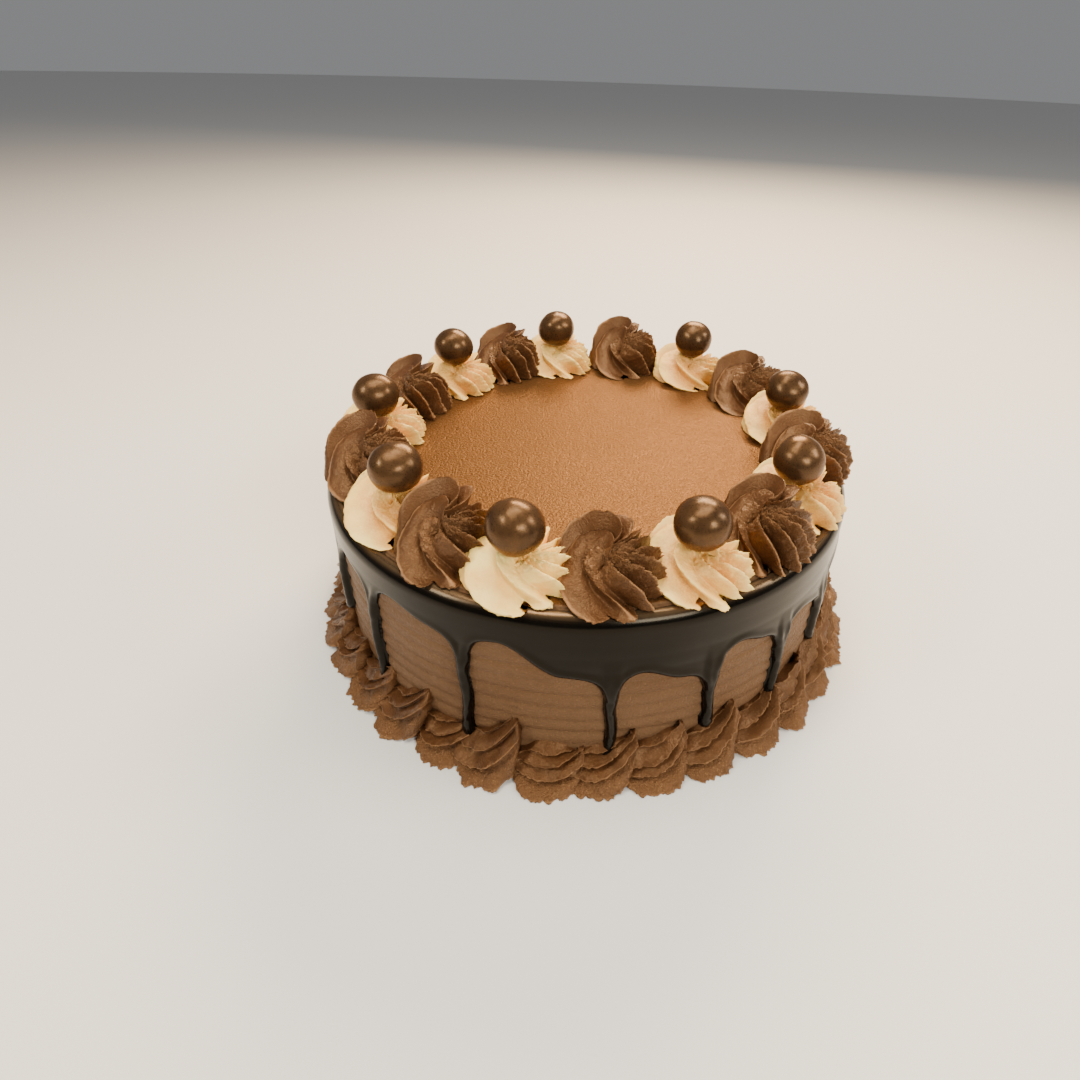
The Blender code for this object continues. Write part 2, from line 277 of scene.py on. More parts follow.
def cake_coat():
    bm = bmesh.new()
    points = [bm.verts.new((reach, 0.0, height)) for reach, height in coat_profile()]
    edges = [bm.edges.new(pair) for pair in zip(points, points[1:])]
    bmesh.ops.spin(
        bm, geom=points + edges, cent=(0, 0, 0), axis=(0, 0, 1),
        angle=math.tau, steps=COAT_TURNS, use_merge=True,
    )
    bmesh.ops.remove_doubles(bm, verts=bm.verts, dist=WELD)
    scraped_and_sheen = bm.verts.layers.float.new("scraped_and_sheen")
    for vert in bm.verts:
        reach = math.hypot(vert.co.x, vert.co.y)
        azimuth = math.degrees(math.atan2(vert.co.y, vert.co.x))
        if vert.co.z > CAKE_HEIGHT - 0.00001:
            # The top is marked both for its satin finish and for its painted warm sheen
            vert[scraped_and_sheen] = 1.0
            slow = noise.noise(vert.co * 30.0) * 0.00022
            scrape = noise.noise(Vector((vert.co.x * 25, vert.co.y * 220, 3.0))) * 0.00005
            vert.co.z += slow + scrape - 0.00015
        elif reach > CAKE_RADIUS - 0.0015 and vert.co.z > 0.0001:
            dip = comb_ridge(vert.co.z, azimuth) + 0.00012 * noise.noise(vert.co * 160.0)
            vert.co.x *= (reach - dip) / reach
            vert.co.y *= (reach - dip) / reach
    tree = KDTree(len(bm.verts))
    for index, vert in enumerate(bm.verts):
        tree.insert(vert.co, index)
    tree.balance()
    bm.verts.ensure_lookup_table()
    rng = random.Random(11)
    for _ in range(PIT_COUNT):
        spot = polar(CAKE_RADIUS, rng.uniform(-180, 180), rng.uniform(*PIT_HEIGHTS))
        size = rng.uniform(*PIT_SIZES)
        for _, index, away in tree.find_range(spot, size):
            vert = bm.verts[index]
            inward = Vector((vert.co.x, vert.co.y, 0.0)).normalized() * PIT_DEPTH
            vert.co -= inward * (1 - away / size)
    return finish_mesh("cake_coat", bm, coat_material())


coat = cake_coat()
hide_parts("cake_body")

# Poured chocolate
# Warm dark chocolate was spooned along the edge of the chilled cake: it set as a thin skin
# over the shoulder, hangs down the wall as a curtain, and ran on in narrow drips.
GLAZE_SKIN = 0.0014
GLAZE_BEAD = 0.0005
GLAZE_EDGE = 0.0019
GLAZE_INNER_RADIUS = 0.1037
GLAZE_ROOT = 0.0006
DRIP_HALF_WIDTH = 0.0028
DRIP_SWELL = 0.0011
NECK_DROP = 0.0075
NECK_SPREAD = 0.0020
SEAM_WELD = 0.00001
# Each drip: azimuth in degrees, height of its end, then the height of the curtain just to its
# right and just before the next drip
DRIPS = [
    (-151, 0.0250, 0.0585, 0.0565), (-135, 0.0060, 0.0580, 0.0545), (-112, 0.0090, 0.0580, 0.0450),
    (-85, 0.0060, 0.0475, 0.0420), (-66, 0.0140, 0.0500, 0.0455), (-49, 0.0060, 0.0475, 0.0450),
    (-33, 0.0190, 0.0500, 0.0520), (-14, 0.0100, 0.0540, 0.0510), (9, 0.0270, 0.0500, 0.0530),
    (31, 0.0120, 0.0550, 0.0500), (52, 0.0070, 0.0490, 0.0550), (76, 0.0220, 0.0560, 0.0530),
    (98, 0.0100, 0.0510, 0.0550), (121, 0.0300, 0.0560, 0.0520), (143, 0.0080, 0.0500, 0.0560),
    (166, 0.0180, 0.0580, 0.0560), (188, 0.0090, 0.0570, 0.0590),
]
GANACHE_COLOUR = (0.0010, 0.0008, 0.0006)
GANACHE_WARM = (0.0026, 0.0018, 0.0012)
# Colour of a painted highlight: a light metallic band along the shoulder
GANACHE_RIM_HIGHLIGHT = (0.14, 0.087, 0.047)
GANACHE_SHEEN = (1.0, 0.88, 0.70, 1.0)
# Ways lead along the coat from the skin's inner edge: to the end of the flat, to the top of
# the wall, and to the shining line on the shoulder, a painted highlight made by a light metallic
# band; the flat inside that line is satin
FLAT_WAY = CAKE_RADIUS - EDGE_ROUNDING - GLAZE_INNER_RADIUS
WALL_WAY = FLAT_WAY + EDGE_ROUNDING * math.pi / 2
RIM_HIGHLIGHT_WAY = FLAT_WAY + 0.0016
RIM_HIGHLIGHT_SPREAD = 0.0010


def curtain_line(azimuth):
    # Lower edge of the curtain: arched between two drips and drawn down into their necks
    after, number = min(((azimuth - drip[0]) % 360, index) for index, drip in enumerate(DRIPS))
    left = DRIPS[number]
    before = (DRIPS[(number + 1) % len(DRIPS)][0] - azimuth) % 360
    share = after / (after + before)
    line = left[2] + (left[3] - left[2]) * ease(share * 2.4 - 0.6)
    line += 0.0022 * math.sin(math.pi * share) + 0.0005 * math.sin(math.radians(azimuth * 11))
    for away in (after, before):
        metres = math.radians(away) * CAKE_RADIUS - DRIP_HALF_WIDTH
        line -= NECK_DROP * math.exp(-max(metres, 0.0) / NECK_SPREAD)
    return line


def wrapped_point(azimuth, way):
    # Point on the coat at a distance along it: inner edge, over the shoulder, down the wall
    if way < FLAT_WAY:
        return polar(GLAZE_INNER_RADIUS + way, azimuth, SHOULDER_TOP), Vector((0, 0, 1))
    bend = min(1.0, (way - FLAT_WAY) / (WALL_WAY - FLAT_WAY)) * math.pi / 2
    outward = polar(math.sin(bend), azimuth, math.cos(bend))
    centre = polar(CAKE_RADIUS - EDGE_ROUNDING, azimuth, SHOULDER_LOW)
    return centre + outward * EDGE_ROUNDING - Vector((0, 0, max(0.0, way - WALL_WAY))), outward


def way_down_to(height):
    return WALL_WAY + SHOULDER_LOW - height


def ganache_material():
    material, tree, shader = new_material("ganache", 0.34)
    place = tree.nodes.new("ShaderNodeTexCoord").outputs["Object"]
    cloud = remap(tree, add_noise(tree, place, 55.0, 4.0, 0.6), 0.35, 0.7)
    tone = mix_colour(tree, cloud, GANACHE_COLOUR, GANACHE_WARM)
    rim_highlight = read_attribute(tree, "rim_highlight")
    # Painted highlight: a light, nearly metallic band along the shoulder gives the shining line
    tone = mix_colour(tree, rim_highlight, tone, GANACHE_RIM_HIGHLIGHT)
    tree.links.new(tone, shader.inputs["Base Color"])
    tree.links.new(combine(tree, "MULTIPLY", rim_highlight, 0.9), shader.inputs["Metallic"])
    shader.inputs["Specular IOR Level"].default_value = 0.15
    shader.inputs["Specular Tint"].default_value = GANACHE_SHEEN
    fine = add_noise(tree, place, 900.0, 2.0, 0.5)
    gloss = remap(tree, fine, 0.3, 0.7, 0.17, 0.21)
    satin = read_attribute(tree, "satin")
    dulled = combine(tree, "MULTIPLY", satin, 0.45)
    dulled = combine(tree, "ADD", combine(tree, "MULTIPLY", rim_highlight, 0.08), dulled)
    tree.links.new(combine(tree, "ADD", gloss, dulled), shader.inputs["Roughness"])
    add_bump(tree, shader, fine, 0.05, 0.0002)
    return material


def ganache_curtain():
    bm = bmesh.new()
    rim_highlight_layer = bm.verts.layers.float.new("rim_highlight")
    satin_layer = bm.verts.layers.float.new("satin")
    half = math.degrees(DRIP_HALF_WIDTH / CAKE_RADIUS)
    edge_points = []
    places = {}

    def patch(columns, rows, locate):
        made = bmesh.ops.create_grid(bm, x_segments=columns, y_segments=rows, size=0.5)
        for vert in made["verts"]:
            places[vert] = locate(vert.co.x + 0.5, vert.co.y + 0.5)
            vert.co = wrapped_point(*places[vert])[0]

    for number, (azimuth, end, _, _) in enumerate(DRIPS):
        span = (DRIPS[(number + 1) % len(DRIPS)][0] - azimuth) % 360 - 2 * half
        top_left = curtain_line(azimuth - half)
        top_right = curtain_line(azimuth + half)

        def between(across, along):
            # Columns crowd towards the necks, where the edge turns sharply
            crowded = 0.5 - 0.5 * math.cos(math.pi * across)
            place = azimuth + half + span * (0.4 * across + 0.6 * crowded)
            return place, way_down_to(curtain_line(place)) * along

        def above_drip(across, along):
            crowded = 0.5 - 0.5 * math.cos(math.pi * across)
            low = way_down_to(top_left + (top_right - top_left) * crowded)
            return azimuth + half * (2 * crowded - 1), low * along

        def drip(across, along):
            crowded = 0.5 - 0.5 * math.cos(math.pi * across)
            top = top_left + (top_right - top_left) * crowded
            height = top + (end - top) * along
            cap = DRIP_HALF_WIDTH * 1.3
            over_tip = max(0.0, (end + cap - height) / cap)
            narrow = math.sqrt(max(0.0, 1 - over_tip * over_tip))
            waist = 1 - 0.20 * ease((top - height) / 0.010) + 0.24 * ease((end + 0.010 - height) / 0.006)
            sway = 0.18 * ease((top - height) / 0.010) * math.sin(height * 230 + azimuth)
            place = azimuth + half * narrow * ((2 * crowded - 1) * waist + sway)
            return place, way_down_to(height)

        patch(34, 40, between)
        patch(14, 40, above_drip)
        patch(14, 60, drip)
        edge_points += [between(step / 500, 1.0) for step in range(501)]
        edge_points += [drip(side, step / 400) for side in (0.0, 1.0) for step in range(401)]
    edge_points += [(0.2 * step, 0.0) for step in range(1800)]
    tree = KDTree(len(edge_points))
    for index, spot in enumerate(edge_points):
        tree.insert(wrapped_point(*spot)[0], index)
    tree.balance()
    for vert, (azimuth, way) in places.items():
        base, outward = wrapped_point(azimuth, way)
        away = max(0.0, tree.find(base)[2] - 0.00007)
        roundness = math.sqrt(max(0.0, 1 - (1 - min(1.0, away / GLAZE_EDGE)) ** 2))
        drop = max(0.0, way - WALL_WAY)
        from_drip = min(abs((azimuth - entry[0] + 180) % 360 - 180) for entry in DRIPS)
        swell = DRIP_SWELL * ease((drop - 0.012) / 0.012) * ease((half * 1.6 - from_drip) / half)
        bead = GLAZE_BEAD * math.exp(-((away - 0.0024) / 0.0014) ** 2) * ease((drop - 0.006) / 0.008)
        wave = 0.00018 * noise.noise(base * 55.0) - 0.2 * comb_ridge(base.z, azimuth)
        vert.co = base + outward * (roundness * (GLAZE_SKIN + swell + bead + wave) - 0.00005)
        # Share of the painted highlight band along the shoulder
        vert[rim_highlight_layer] = math.exp(-((way - RIM_HIGHLIGHT_WAY) / RIM_HIGHLIGHT_SPREAD) ** 2)
        vert[satin_layer] = min(1.0, max(0.0, (RIM_HIGHLIGHT_WAY - way) / RIM_HIGHLIGHT_SPREAD))
    bmesh.ops.remove_doubles(bm, verts=bm.verts, dist=SEAM_WELD)
    bmesh.ops.recalc_face_normals(bm, faces=bm.faces)
    bmesh.ops.solidify(bm, geom=bm.faces[:], thickness=GLAZE_ROOT)
    return finish_mesh("ganache_curtain", bm, ganache_material())


glaze = ganache_curtain()
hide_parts("ganache_drip")

# Chocolate rosettes
# Each is piped in one squeeze of chocolate buttercream from a star nozzle drawn aside as it
# stops: broad ribbons curl round one flank and rough fingers stay straight on the other.
ROSETTE_RING_RADIUS = 0.0918
ROSETTE_RADIUS = 0.0180
# Height and turn in degrees of each chocolate rosette, from the front round to the right
CHOC_SIZES = [
    (0.0193, 0), (0.0215, -35), (0.0205, -8), (0.0210, 0), (0.0235, 4),
    (0.0228, -14), (0.0220, -18), (0.0222, 6), (0.0212, -4),
]
SEAT = CAKE_HEIGHT + 0.0001
# Each ball: azimuth in degrees, distance from the cake's axis
BALLS = [
    (-104, 0.0935), (-67, 0.0940), (-30, 0.0895), (11, 0.0890), (56, 0.0945),
    (102, 0.0905), (139, 0.0900), (179, 0.0905), (220, 0.0885),
]
# Path of a crest from its foot to the crown: azimuth in degrees, and radius and height as
# shares of the rosette's
TOP_RIBBON = [
    (160, 0.98, 0.00), (160, 1.05, 0.08), (157, 1.04, 0.35), (150, 1.02, 0.62),
    (125, 0.98, 0.86), (90, 0.78, 1.00), (50, 0.42, 0.97), (20, 0.10, 0.88),
]
FRONT_RIBBON = [
    (-106, 1.05, 0.00), (-128, 1.00, 0.06), (-155, 0.90, 0.17), (-182, 0.82, 0.33),
    (-215, 0.75, 0.58), (-245, 0.66, 0.75), (-275, 0.42, 0.86), (-310, 0.15, 0.86),
]
BUD_RIBBON = [
    (-64, 1.04, 0.00), (-67, 0.93, 0.07), (-78, 0.70, 0.18), (-102, 0.54, 0.30),
    (-139, 0.43, 0.42), (-171, 0.40, 0.52), (-205, 0.32, 0.62), (-240, 0.10, 0.70),
]
SIDE_RIBBON = [
    (98, 0.98, 0.00), (97, 1.05, 0.10), (94, 1.03, 0.40), (86, 1.00, 0.67),
    (68, 0.95, 0.84), (45, 0.72, 0.94), (15, 0.36, 0.90), (-10, 0.08, 0.84),
]
# The fingers share one path, told as a share of their turn from their foot
FINGER_PATH = [
    (0.00, 0.98, 0.00), (0.00, 1.07, 0.06), (0.10, 1.03, 0.28), (0.20, 0.98, 0.52),
    (0.38, 0.88, 0.73), (0.60, 0.64, 0.84), (0.85, 0.32, 0.83), (1.00, 0.06, 0.78),
]


def finger(foot, turn, lift):
    return [(foot - turn * share, reach, rise * lift) for share, reach, rise in FINGER_PATH]


# Each crest: its path, how rough it is, how far across lies the groove before the next crest,
# and the depth of that groove as a share of the radius and height
CHOC_CRESTS = [
    (FRONT_RIBBON, 0.20, 0.86, 0.17),
    (BUD_RIBBON, 0.6, 0.66, 0.26),
    (finger(-40, 45, 0.78), 1.2, 0.55, 0.34),
    (finger(-20, 40, 0.90), 1.5, 0.55, 0.36),
    (finger(1, 36, 0.98), 1.6, 0.55, 0.36),
    (finger(22, 36, 1.00), 1.5, 0.55, 0.36),
    (finger(44, 44, 1.00), 1.2, 0.58, 0.34),
    (finger(68, 55, 1.00), 0.8, 0.62, 0.30),
    (SIDE_RIBBON, 0.6, 0.80, 0.26),
    (TOP_RIBBON, 0.4, 0.86, 0.24),
]
ROSETTE_COLUMNS = 240
ROSETTE_ROWS = 64
STRAP_SLOPE = 1.4
GROOVE_WALL = 0.55
TOE_GROOVE = 0.45
TOE_BLUNTNESS = 1.3
SWIRL_RAGGED = 0.0013
SWIRL_SOFT = 0.0008
PIPING_COLOUR = (0.078, 0.032, 0.0125)
PIPING_DARK = (0.050, 0.0195, 0.0070)
# The last colour is a painted highlight: pale lines along crests and lips, sugar glints, and a light
# tint on torn parts
PIPING_HIGHLIGHT = (0.34, 0.175, 0.078)


def swirl_point(crests, across, along, height):
    # Point of a swirl about its own foot, how near it lies to a crest, and its roughness
    spot = (across % 1.0) * len(crests)
    index = int(spot)
    step = spot - index
    path, rough, lean, depth = crests[index]
    next_path, next_rough, _, _ = crests[(index + 1) % len(crests)]
    start, reach, rise = smooth_between(path, along)
    stop, next_reach, next_rise = smooth_between(next_path, along)
    if next_path[0][0] < path[0][0]:
        stop += 360
    width = math.radians(max(0.0, stop - start)) * ROSETTE_RADIUS * (reach + next_reach) / 2
    toe = 1 - ease(along / 0.3)
    lean += (TOE_GROOVE - lean) * toe
    if step < lean:
        hollow = (step / lean) ** (STRAP_SLOPE + TOE_BLUNTNESS * toe)
    else:
        hollow = ((1 - step) / (1 - lean)) ** (GROOVE_WALL + 0.3 * rough + TOE_BLUNTNESS * toe)
    sunk = hollow * depth * min(1.0, 0.2 + width / 0.0060)
    out = ROSETTE_RADIUS * max(0.02, (reach + (next_reach - reach) * step) * (1 - 1.2 * sunk))
    up = height * max(0.0, rise + (next_rise - rise) * step - sunk * min(1.0, along * 5))
    return polar(out, start + (stop - start) * step, up), 1 - hollow, rough + (next_rough - rough) * step


def swirl(seat, crests, height, rng, turned_by):
    bm = bmesh.new()
    varied = []
    for path, *manner in crests:
        shift = turned_by + rng.uniform(-4, 4)
        wider = rng.uniform(0.95, 1.04)
        taller = rng.uniform(0.94, 1.04)
        moved = [(azimuth + shift, reach * wider, rise * taller) for azimuth, reach, rise in path]
        varied.append((moved, *manner))
    drift = Vector((rng.uniform(-0.0012, 0.0012), rng.uniform(-0.0012, 0.0012), 0.0))
    seed = Vector((rng.uniform(0, 50), rng.uniform(0, 50), rng.uniform(0, 50)))
    crest_layer = bm.verts.layers.float.new("crest")
    torn_layer = bm.verts.layers.float.new("torn")
    made = bmesh.ops.create_grid(bm, x_segments=ROSETTE_COLUMNS, y_segments=ROSETTE_ROWS, size=0.5)
    for vert in made["verts"]:
        across = vert.co.x + 0.5
        along = vert.co.y + 0.5
        place, near, rough = swirl_point(varied, across, along, height)
        outward = Vector((place.x, place.y, place.z * 0.7)).normalized()
        spot = place + seed
        ragged = noise.noise(spot * 650.0) * 0.6 + noise.noise(spot * 1500.0) * 0.5
        soft = noise.noise(spot * 170.0)
        foot = ease((0.14 - along) / 0.14)
        crown = ease((along - 0.60) / 0.2)
        tear = 0.10 + rough * (0.30 + 0.5 * near + 0.8 * crown) + 0.7 * foot
        place += outward * (SWIRL_RAGGED * ragged * tear + SWIRL_SOFT * soft * min(1.0, along * 5))
        place.z = max(0.0, place.z)
        vert.co = seat + place + drift * along
        # Nearness to a crest: on chocolate it draws painted highlight lines, and on cream the painted
        # shade lies away from it
        vert[crest_layer] = near * ease(along / 0.05) * (1 - 0.4 * crown)
        vert[torn_layer] = min(1.0, rough * (0.25 + 0.5 * crown) + 0.5 * foot)
    return bm


def close_swirl(bm):
    bmesh.ops.remove_doubles(bm, verts=bm.verts, dist=SEAM_WELD)
    open_edges = [edge for edge in bm.edges if edge.is_boundary]
    bmesh.ops.holes_fill(bm, edges=open_edges, sides=0)


def piping_material():
    material, tree, shader = new_material("chocolate_piping", 0.55)
    surface = use_whipped(tree, 90.0, 1300.0)
    crest = read_attribute(tree, "crest")
    torn = read_attribute(tree, "torn")
    patch = remap(tree, surface["Mottle"], 0.32, 0.68)
    tone = mix_colour(tree, patch, PIPING_DARK, PIPING_COLOUR)
    # Painted highlight: pale lines along the crests of the rosettes and the lips of the shells
    edge = remap(tree, crest, 0.94, 1.0, 0.0, 0.75)
    tone = mix_colour(tree, edge, tone, PIPING_HIGHLIGHT)
    frayed = remap(tree, torn, 0.2, 1.0)
    # The torn parts are tinted a little towards the painted highlight colour
    tone = mix_colour(tree, combine(tree, "MULTIPLY", frayed, 0.16), tone, PIPING_HIGHLIGHT)
    sparkle = combine(tree, "ADD", combine(tree, "MULTIPLY", frayed, 0.45), 0.15)
    # Painted glints on sugar crystals, more of them on torn parts
    crystal_glints = combine(tree, "MULTIPLY", surface["Crystal Glints"], sparkle)
    tone = mix_colour(tree, crystal_glints, tone, PIPING_HIGHLIGHT)
    tree.links.new(tone, shader.inputs["Base Color"])
    shader.inputs["Specular IOR Level"].default_value = 0.5
    shader.inputs["Specular Tint"].default_value = WARM_SHEEN
    gloss = remap(tree, surface["Grain"], 0.3, 0.7, 0.30, 0.50)
    tree.links.new(gloss, shader.inputs["Roughness"])
    coarse = combine(tree, "ADD", combine(tree, "MULTIPLY", frayed, 0.75), 0.25)
    add_bump(tree, shader, combine(tree, "MULTIPLY", surface["Grain"], coarse), 1.0, 0.0009)
    return material


def seat_places():
    # Each ball's cream rosette, and the chocolate one half way on to the next ball
    places = []
    for number, (azimuth, radius) in enumerate(BALLS):
        following = BALLS[(number + 1) % len(BALLS)][0]
        halfway = azimuth + ((following - azimuth) % 360) / 2
        cream_seat = polar((radius + ROSETTE_RING_RADIUS) / 2, azimuth, SEAT)
        places.append((cream_seat, polar(ROSETTE_RING_RADIUS, halfway, SEAT)))
    return places


piping = piping_material()
for number, (_, seat) in enumerate(seat_places()):
    rng = random.Random(40 + number)
    height, turned_by = CHOC_SIZES[number]
    bm = swirl(seat, CHOC_CRESTS, height, rng, turned_by)
    close_swirl(bm)
    rosette = finish_mesh("choc_swirl_%02d" % (number + 1), bm, piping)
    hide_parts("choc_rosette_%02d" % (number + 1))

# Cookie butter rosettes
# The same squeeze in pale cookie butter cream, set lower because a ball is pressed into it,
# with broad smooth petals on one side, small fingers on the other and a tan dusting, which is
# laid on heavier in the hollows as painted shade and round the far side as painted warm light.
CREAM_HEIGHT = 0.0150
BROAD_PETAL = [
    (-94, 1.04, 0.00), (-114, 1.05, 0.07), (-140, 1.02, 0.16), (-166, 0.98, 0.32),
    (-196, 0.94, 0.56), (-226, 0.82, 0.78), (-258, 0.58, 0.92), (-290, 0.16, 0.92),
]
FRONT_PETAL = [
    (-62, 1.06, 0.00), (-66, 0.98, 0.10), (-80, 0.80, 0.26), (-104, 0.64, 0.44),
    (-136, 0.52, 0.62), (-166, 0.44, 0.76), (-200, 0.30, 0.86), (-232, 0.08, 0.86),
]
CREAM_CRESTS = [
    (BROAD_PETAL, 0.35, 0.86, 0.22),
    (FRONT_PETAL, 0.4, 0.72, 0.24),
    (finger(-36, 40, 0.82), 0.9, 0.55, 0.28),
    (finger(-16, 36, 0.92), 1.3, 0.52, 0.30),
    (finger(2, 34, 0.96), 1.4, 0.52, 0.30),
    (finger(20, 36, 0.96), 1.3, 0.52, 0.30),
    (finger(42, 44, 0.98), 1.0, 0.56, 0.28),
    (finger(68, 55, 1.00), 0.7, 0.62, 0.26),
    (SIDE_RIBBON, 0.6, 0.78, 0.26),
    (TOP_RIBBON, 0.5, 0.84, 0.24),
]
BALL_RADIUS = 0.0095
BALL_HEIGHT = 0.0212
SOCKET_GAP = 0.0001
# The cream is palest in front, and tinted more tan the further round it lies: painted warm light over
# the tan dusting
PALEST_AZIMUTH = -100.0
WARM_LIGHT_SPREAD = 42.0
CREAM_COLOUR = (1.0, 0.60, 0.15)
CREAM_PALE = (1.0, 0.78, 0.25)
# Tan of the dusting, also used as painted shade and painted warm light
CREAM_DUST_AND_SHADE = (0.58, 0.24, 0.045)


def cream_material():
    material, tree, shader = new_material("cookie_butter_cream", 0.5)
    surface = use_whipped(tree, 90.0, 1300.0)
    tone = mix_colour(tree, remap(tree, surface["Mottle"], 0.35, 0.65), CREAM_COLOUR, CREAM_PALE)
    place = tree.nodes.new("ShaderNodeTexCoord").outputs["Object"]
    drift = remap(tree, add_noise(tree, place, 42.0, 3.0, 0.6), 0.40, 0.62, 0.45, 1.0)
    crest = read_attribute(tree, "crest")
    # Painted shade: the tan lies heavier in the hollows, away from the crests
    hollow = remap(tree, crest, 0.60, 1.0, 1.0, 0.25)
    speck = remap(tree, add_noise(tree, place, 1500.0, 2.0, 0.7), 0.30, 0.62, 0.6, 1.0)
    painted_warm_light = read_attribute(tree, "painted_warm_light")
    dust_and_shade = combine(tree, "MULTIPLY", combine(tree, "MULTIPLY", drift, hollow), speck)
    dust_and_shade = combine(tree, "MULTIPLY", dust_and_shade, painted_warm_light)
    tone = mix_colour(tree, dust_and_shade, tone, CREAM_DUST_AND_SHADE)
    tree.links.new(tone, shader.inputs["Base Color"])
    shader.inputs["Subsurface Weight"].default_value = 0.05
    shader.inputs["Subsurface Radius"].default_value = (0.003, 0.0015, 0.0007)
    shader.inputs["Subsurface Scale"].default_value = 1.0
    add_bump(tree, shader, surface["Grain"], 0.4, 0.0003)
    return material


cream = cream_material()
for number, (seat, _) in enumerate(seat_places()):
    rng = random.Random(70 + number)
    bm = swirl(seat, CREAM_CRESTS, CREAM_HEIGHT, rng, rng.uniform(-14, 10))
    azimuth, radius = BALLS[number]
    ball = polar(radius, azimuth, CAKE_HEIGHT + BALL_HEIGHT)
    socket = BALL_RADIUS + SOCKET_GAP
    painted_warm_light = bm.verts.layers.float.new("painted_warm_light")
    from_pale = abs((azimuth - PALEST_AZIMUTH + 180) % 360 - 180)
    for vert in bm.verts:
        # Painted warm light: the tan grows the further a rosette lies round from the front
        vert[painted_warm_light] = 0.20 + 0.80 * min(1.0, from_pale / WARM_LIGHT_SPREAD)
        aside = math.hypot(vert.co.x - ball.x, vert.co.y - ball.y)
        if aside < socket:
            vert.co.z = min(vert.co.z, ball.z - math.sqrt(socket * socket - aside * aside))
    close_swirl(bm)
    rosette = finish_mesh("cream_swirl_%02d" % (number + 1), bm, cream)
    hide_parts("cream_rosette_%02d" % (number + 1))

# Chocolate balls
# Crisp centres tumbled in dark chocolate and a golden lustre: not quite round, with a few
# shallow dimples, each pressed a few millimetres into its rosette.
BALL_COLOUR = (0.022, 0.0110, 0.0055)
BALL_LUSTRE = (0.115, 0.058, 0.024)
BALL_DIMPLES = 0.0006
BALL_GRAIN = 0.00012


def ball_material():
    material, tree, shader = new_material("ball_chocolate", 0.3)
    place = tree.nodes.new("ShaderNodeTexCoord").outputs["Object"]
    cloud = add_noise(tree, place, 110.0, 4.0, 0.7)
    flakes = add_noise(tree, place, 1200.0, 2.0, 0.6)
    lustre = remap(tree, cloud, 0.30, 0.80, 0.0, 0.8)
    tone = mix_colour(tree, lustre, BALL_COLOUR, BALL_LUSTRE)
    tree.links.new(tone, shader.inputs["Base Color"])
    shader.inputs["Specular IOR Level"].default_value = 0.5
    shader.inputs["Specular Tint"].default_value = WARM_SHEEN
    tree.links.new(remap(tree, lustre, 0.0, 0.8, 0.15, 0.55), shader.inputs["Metallic"])
    tree.links.new(remap(tree, flakes, 0.3, 0.7, 0.24, 0.36), shader.inputs["Roughness"])
    add_bump(tree, shader, flakes, 0.12, 0.0002)
    return material


ball_coat = ball_material()
for number, (azimuth, radius) in enumerate(BALLS):
    bm = bmesh.new()
    rng = random.Random(90 + number)
    bmesh.ops.create_uvsphere(bm, u_segments=64, v_segments=40, radius=BALL_RADIUS)
    seed = Vector((rng.uniform(0, 9), rng.uniform(0, 9), rng.uniform(0, 9)))
    for vert in bm.verts:
        lump = noise.noise(vert.co * 95.0 + seed) * BALL_DIMPLES
        lump += noise.noise(vert.co * 300.0 + seed) * BALL_GRAIN
        vert.co += vert.co.normalized() * lump
    bmesh.ops.scale(bm, vec=(1.0, 1.0, rng.uniform(0.93, 0.99)), verts=bm.verts)
    bmesh.ops.translate(bm, vec=polar(radius, azimuth, CAKE_HEIGHT + BALL_HEIGHT), verts=bm.verts)
    ball = finish_mesh("chocolate_ball_piece_%02d" % (number + 1), bm, ball_coat)
    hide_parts("chocolate_ball_%02d" % (number + 1))

# Shell border
# Shells of chocolate buttercream are piped side by side against the foot of the wall: each is
# a stack of curved ruffles, the lowest a broad scoop with a serrated lip, the upper ones
# narrower and swept up to the right.
SHELL_COUNT = 35
SHELL_TOE = 0.0128
SHELL_HEIGHT = 0.0155
SHELL_OVERLAP = 1.16
SHELL_COLUMNS = 48
SHELL_ROWS = 55
SHELL_JITTER = 0.08
SHELL_GROOVE = 0.20
SHELL_ROOT = -0.10
SHELL_GAP = 0.0002
SHELL_RAGGED = 0.0017
SHELL_SOFT = 0.0014
SHELL_GRAIN = 0.0004
SHELL_RAGGED_UP = 0.0009
SHELL_SOFT_UP = 0.0010
# The shells start at this azimuth, and stand taller round another
FIRST_SHELL = -97.0
TALLEST_AZIMUTH = -38
TALL_SPREAD = 10
TALL_EXTRA = 0.35
# A vertex of the grid further out than this is on the grid's border
GRID_EDGE = 0.4999
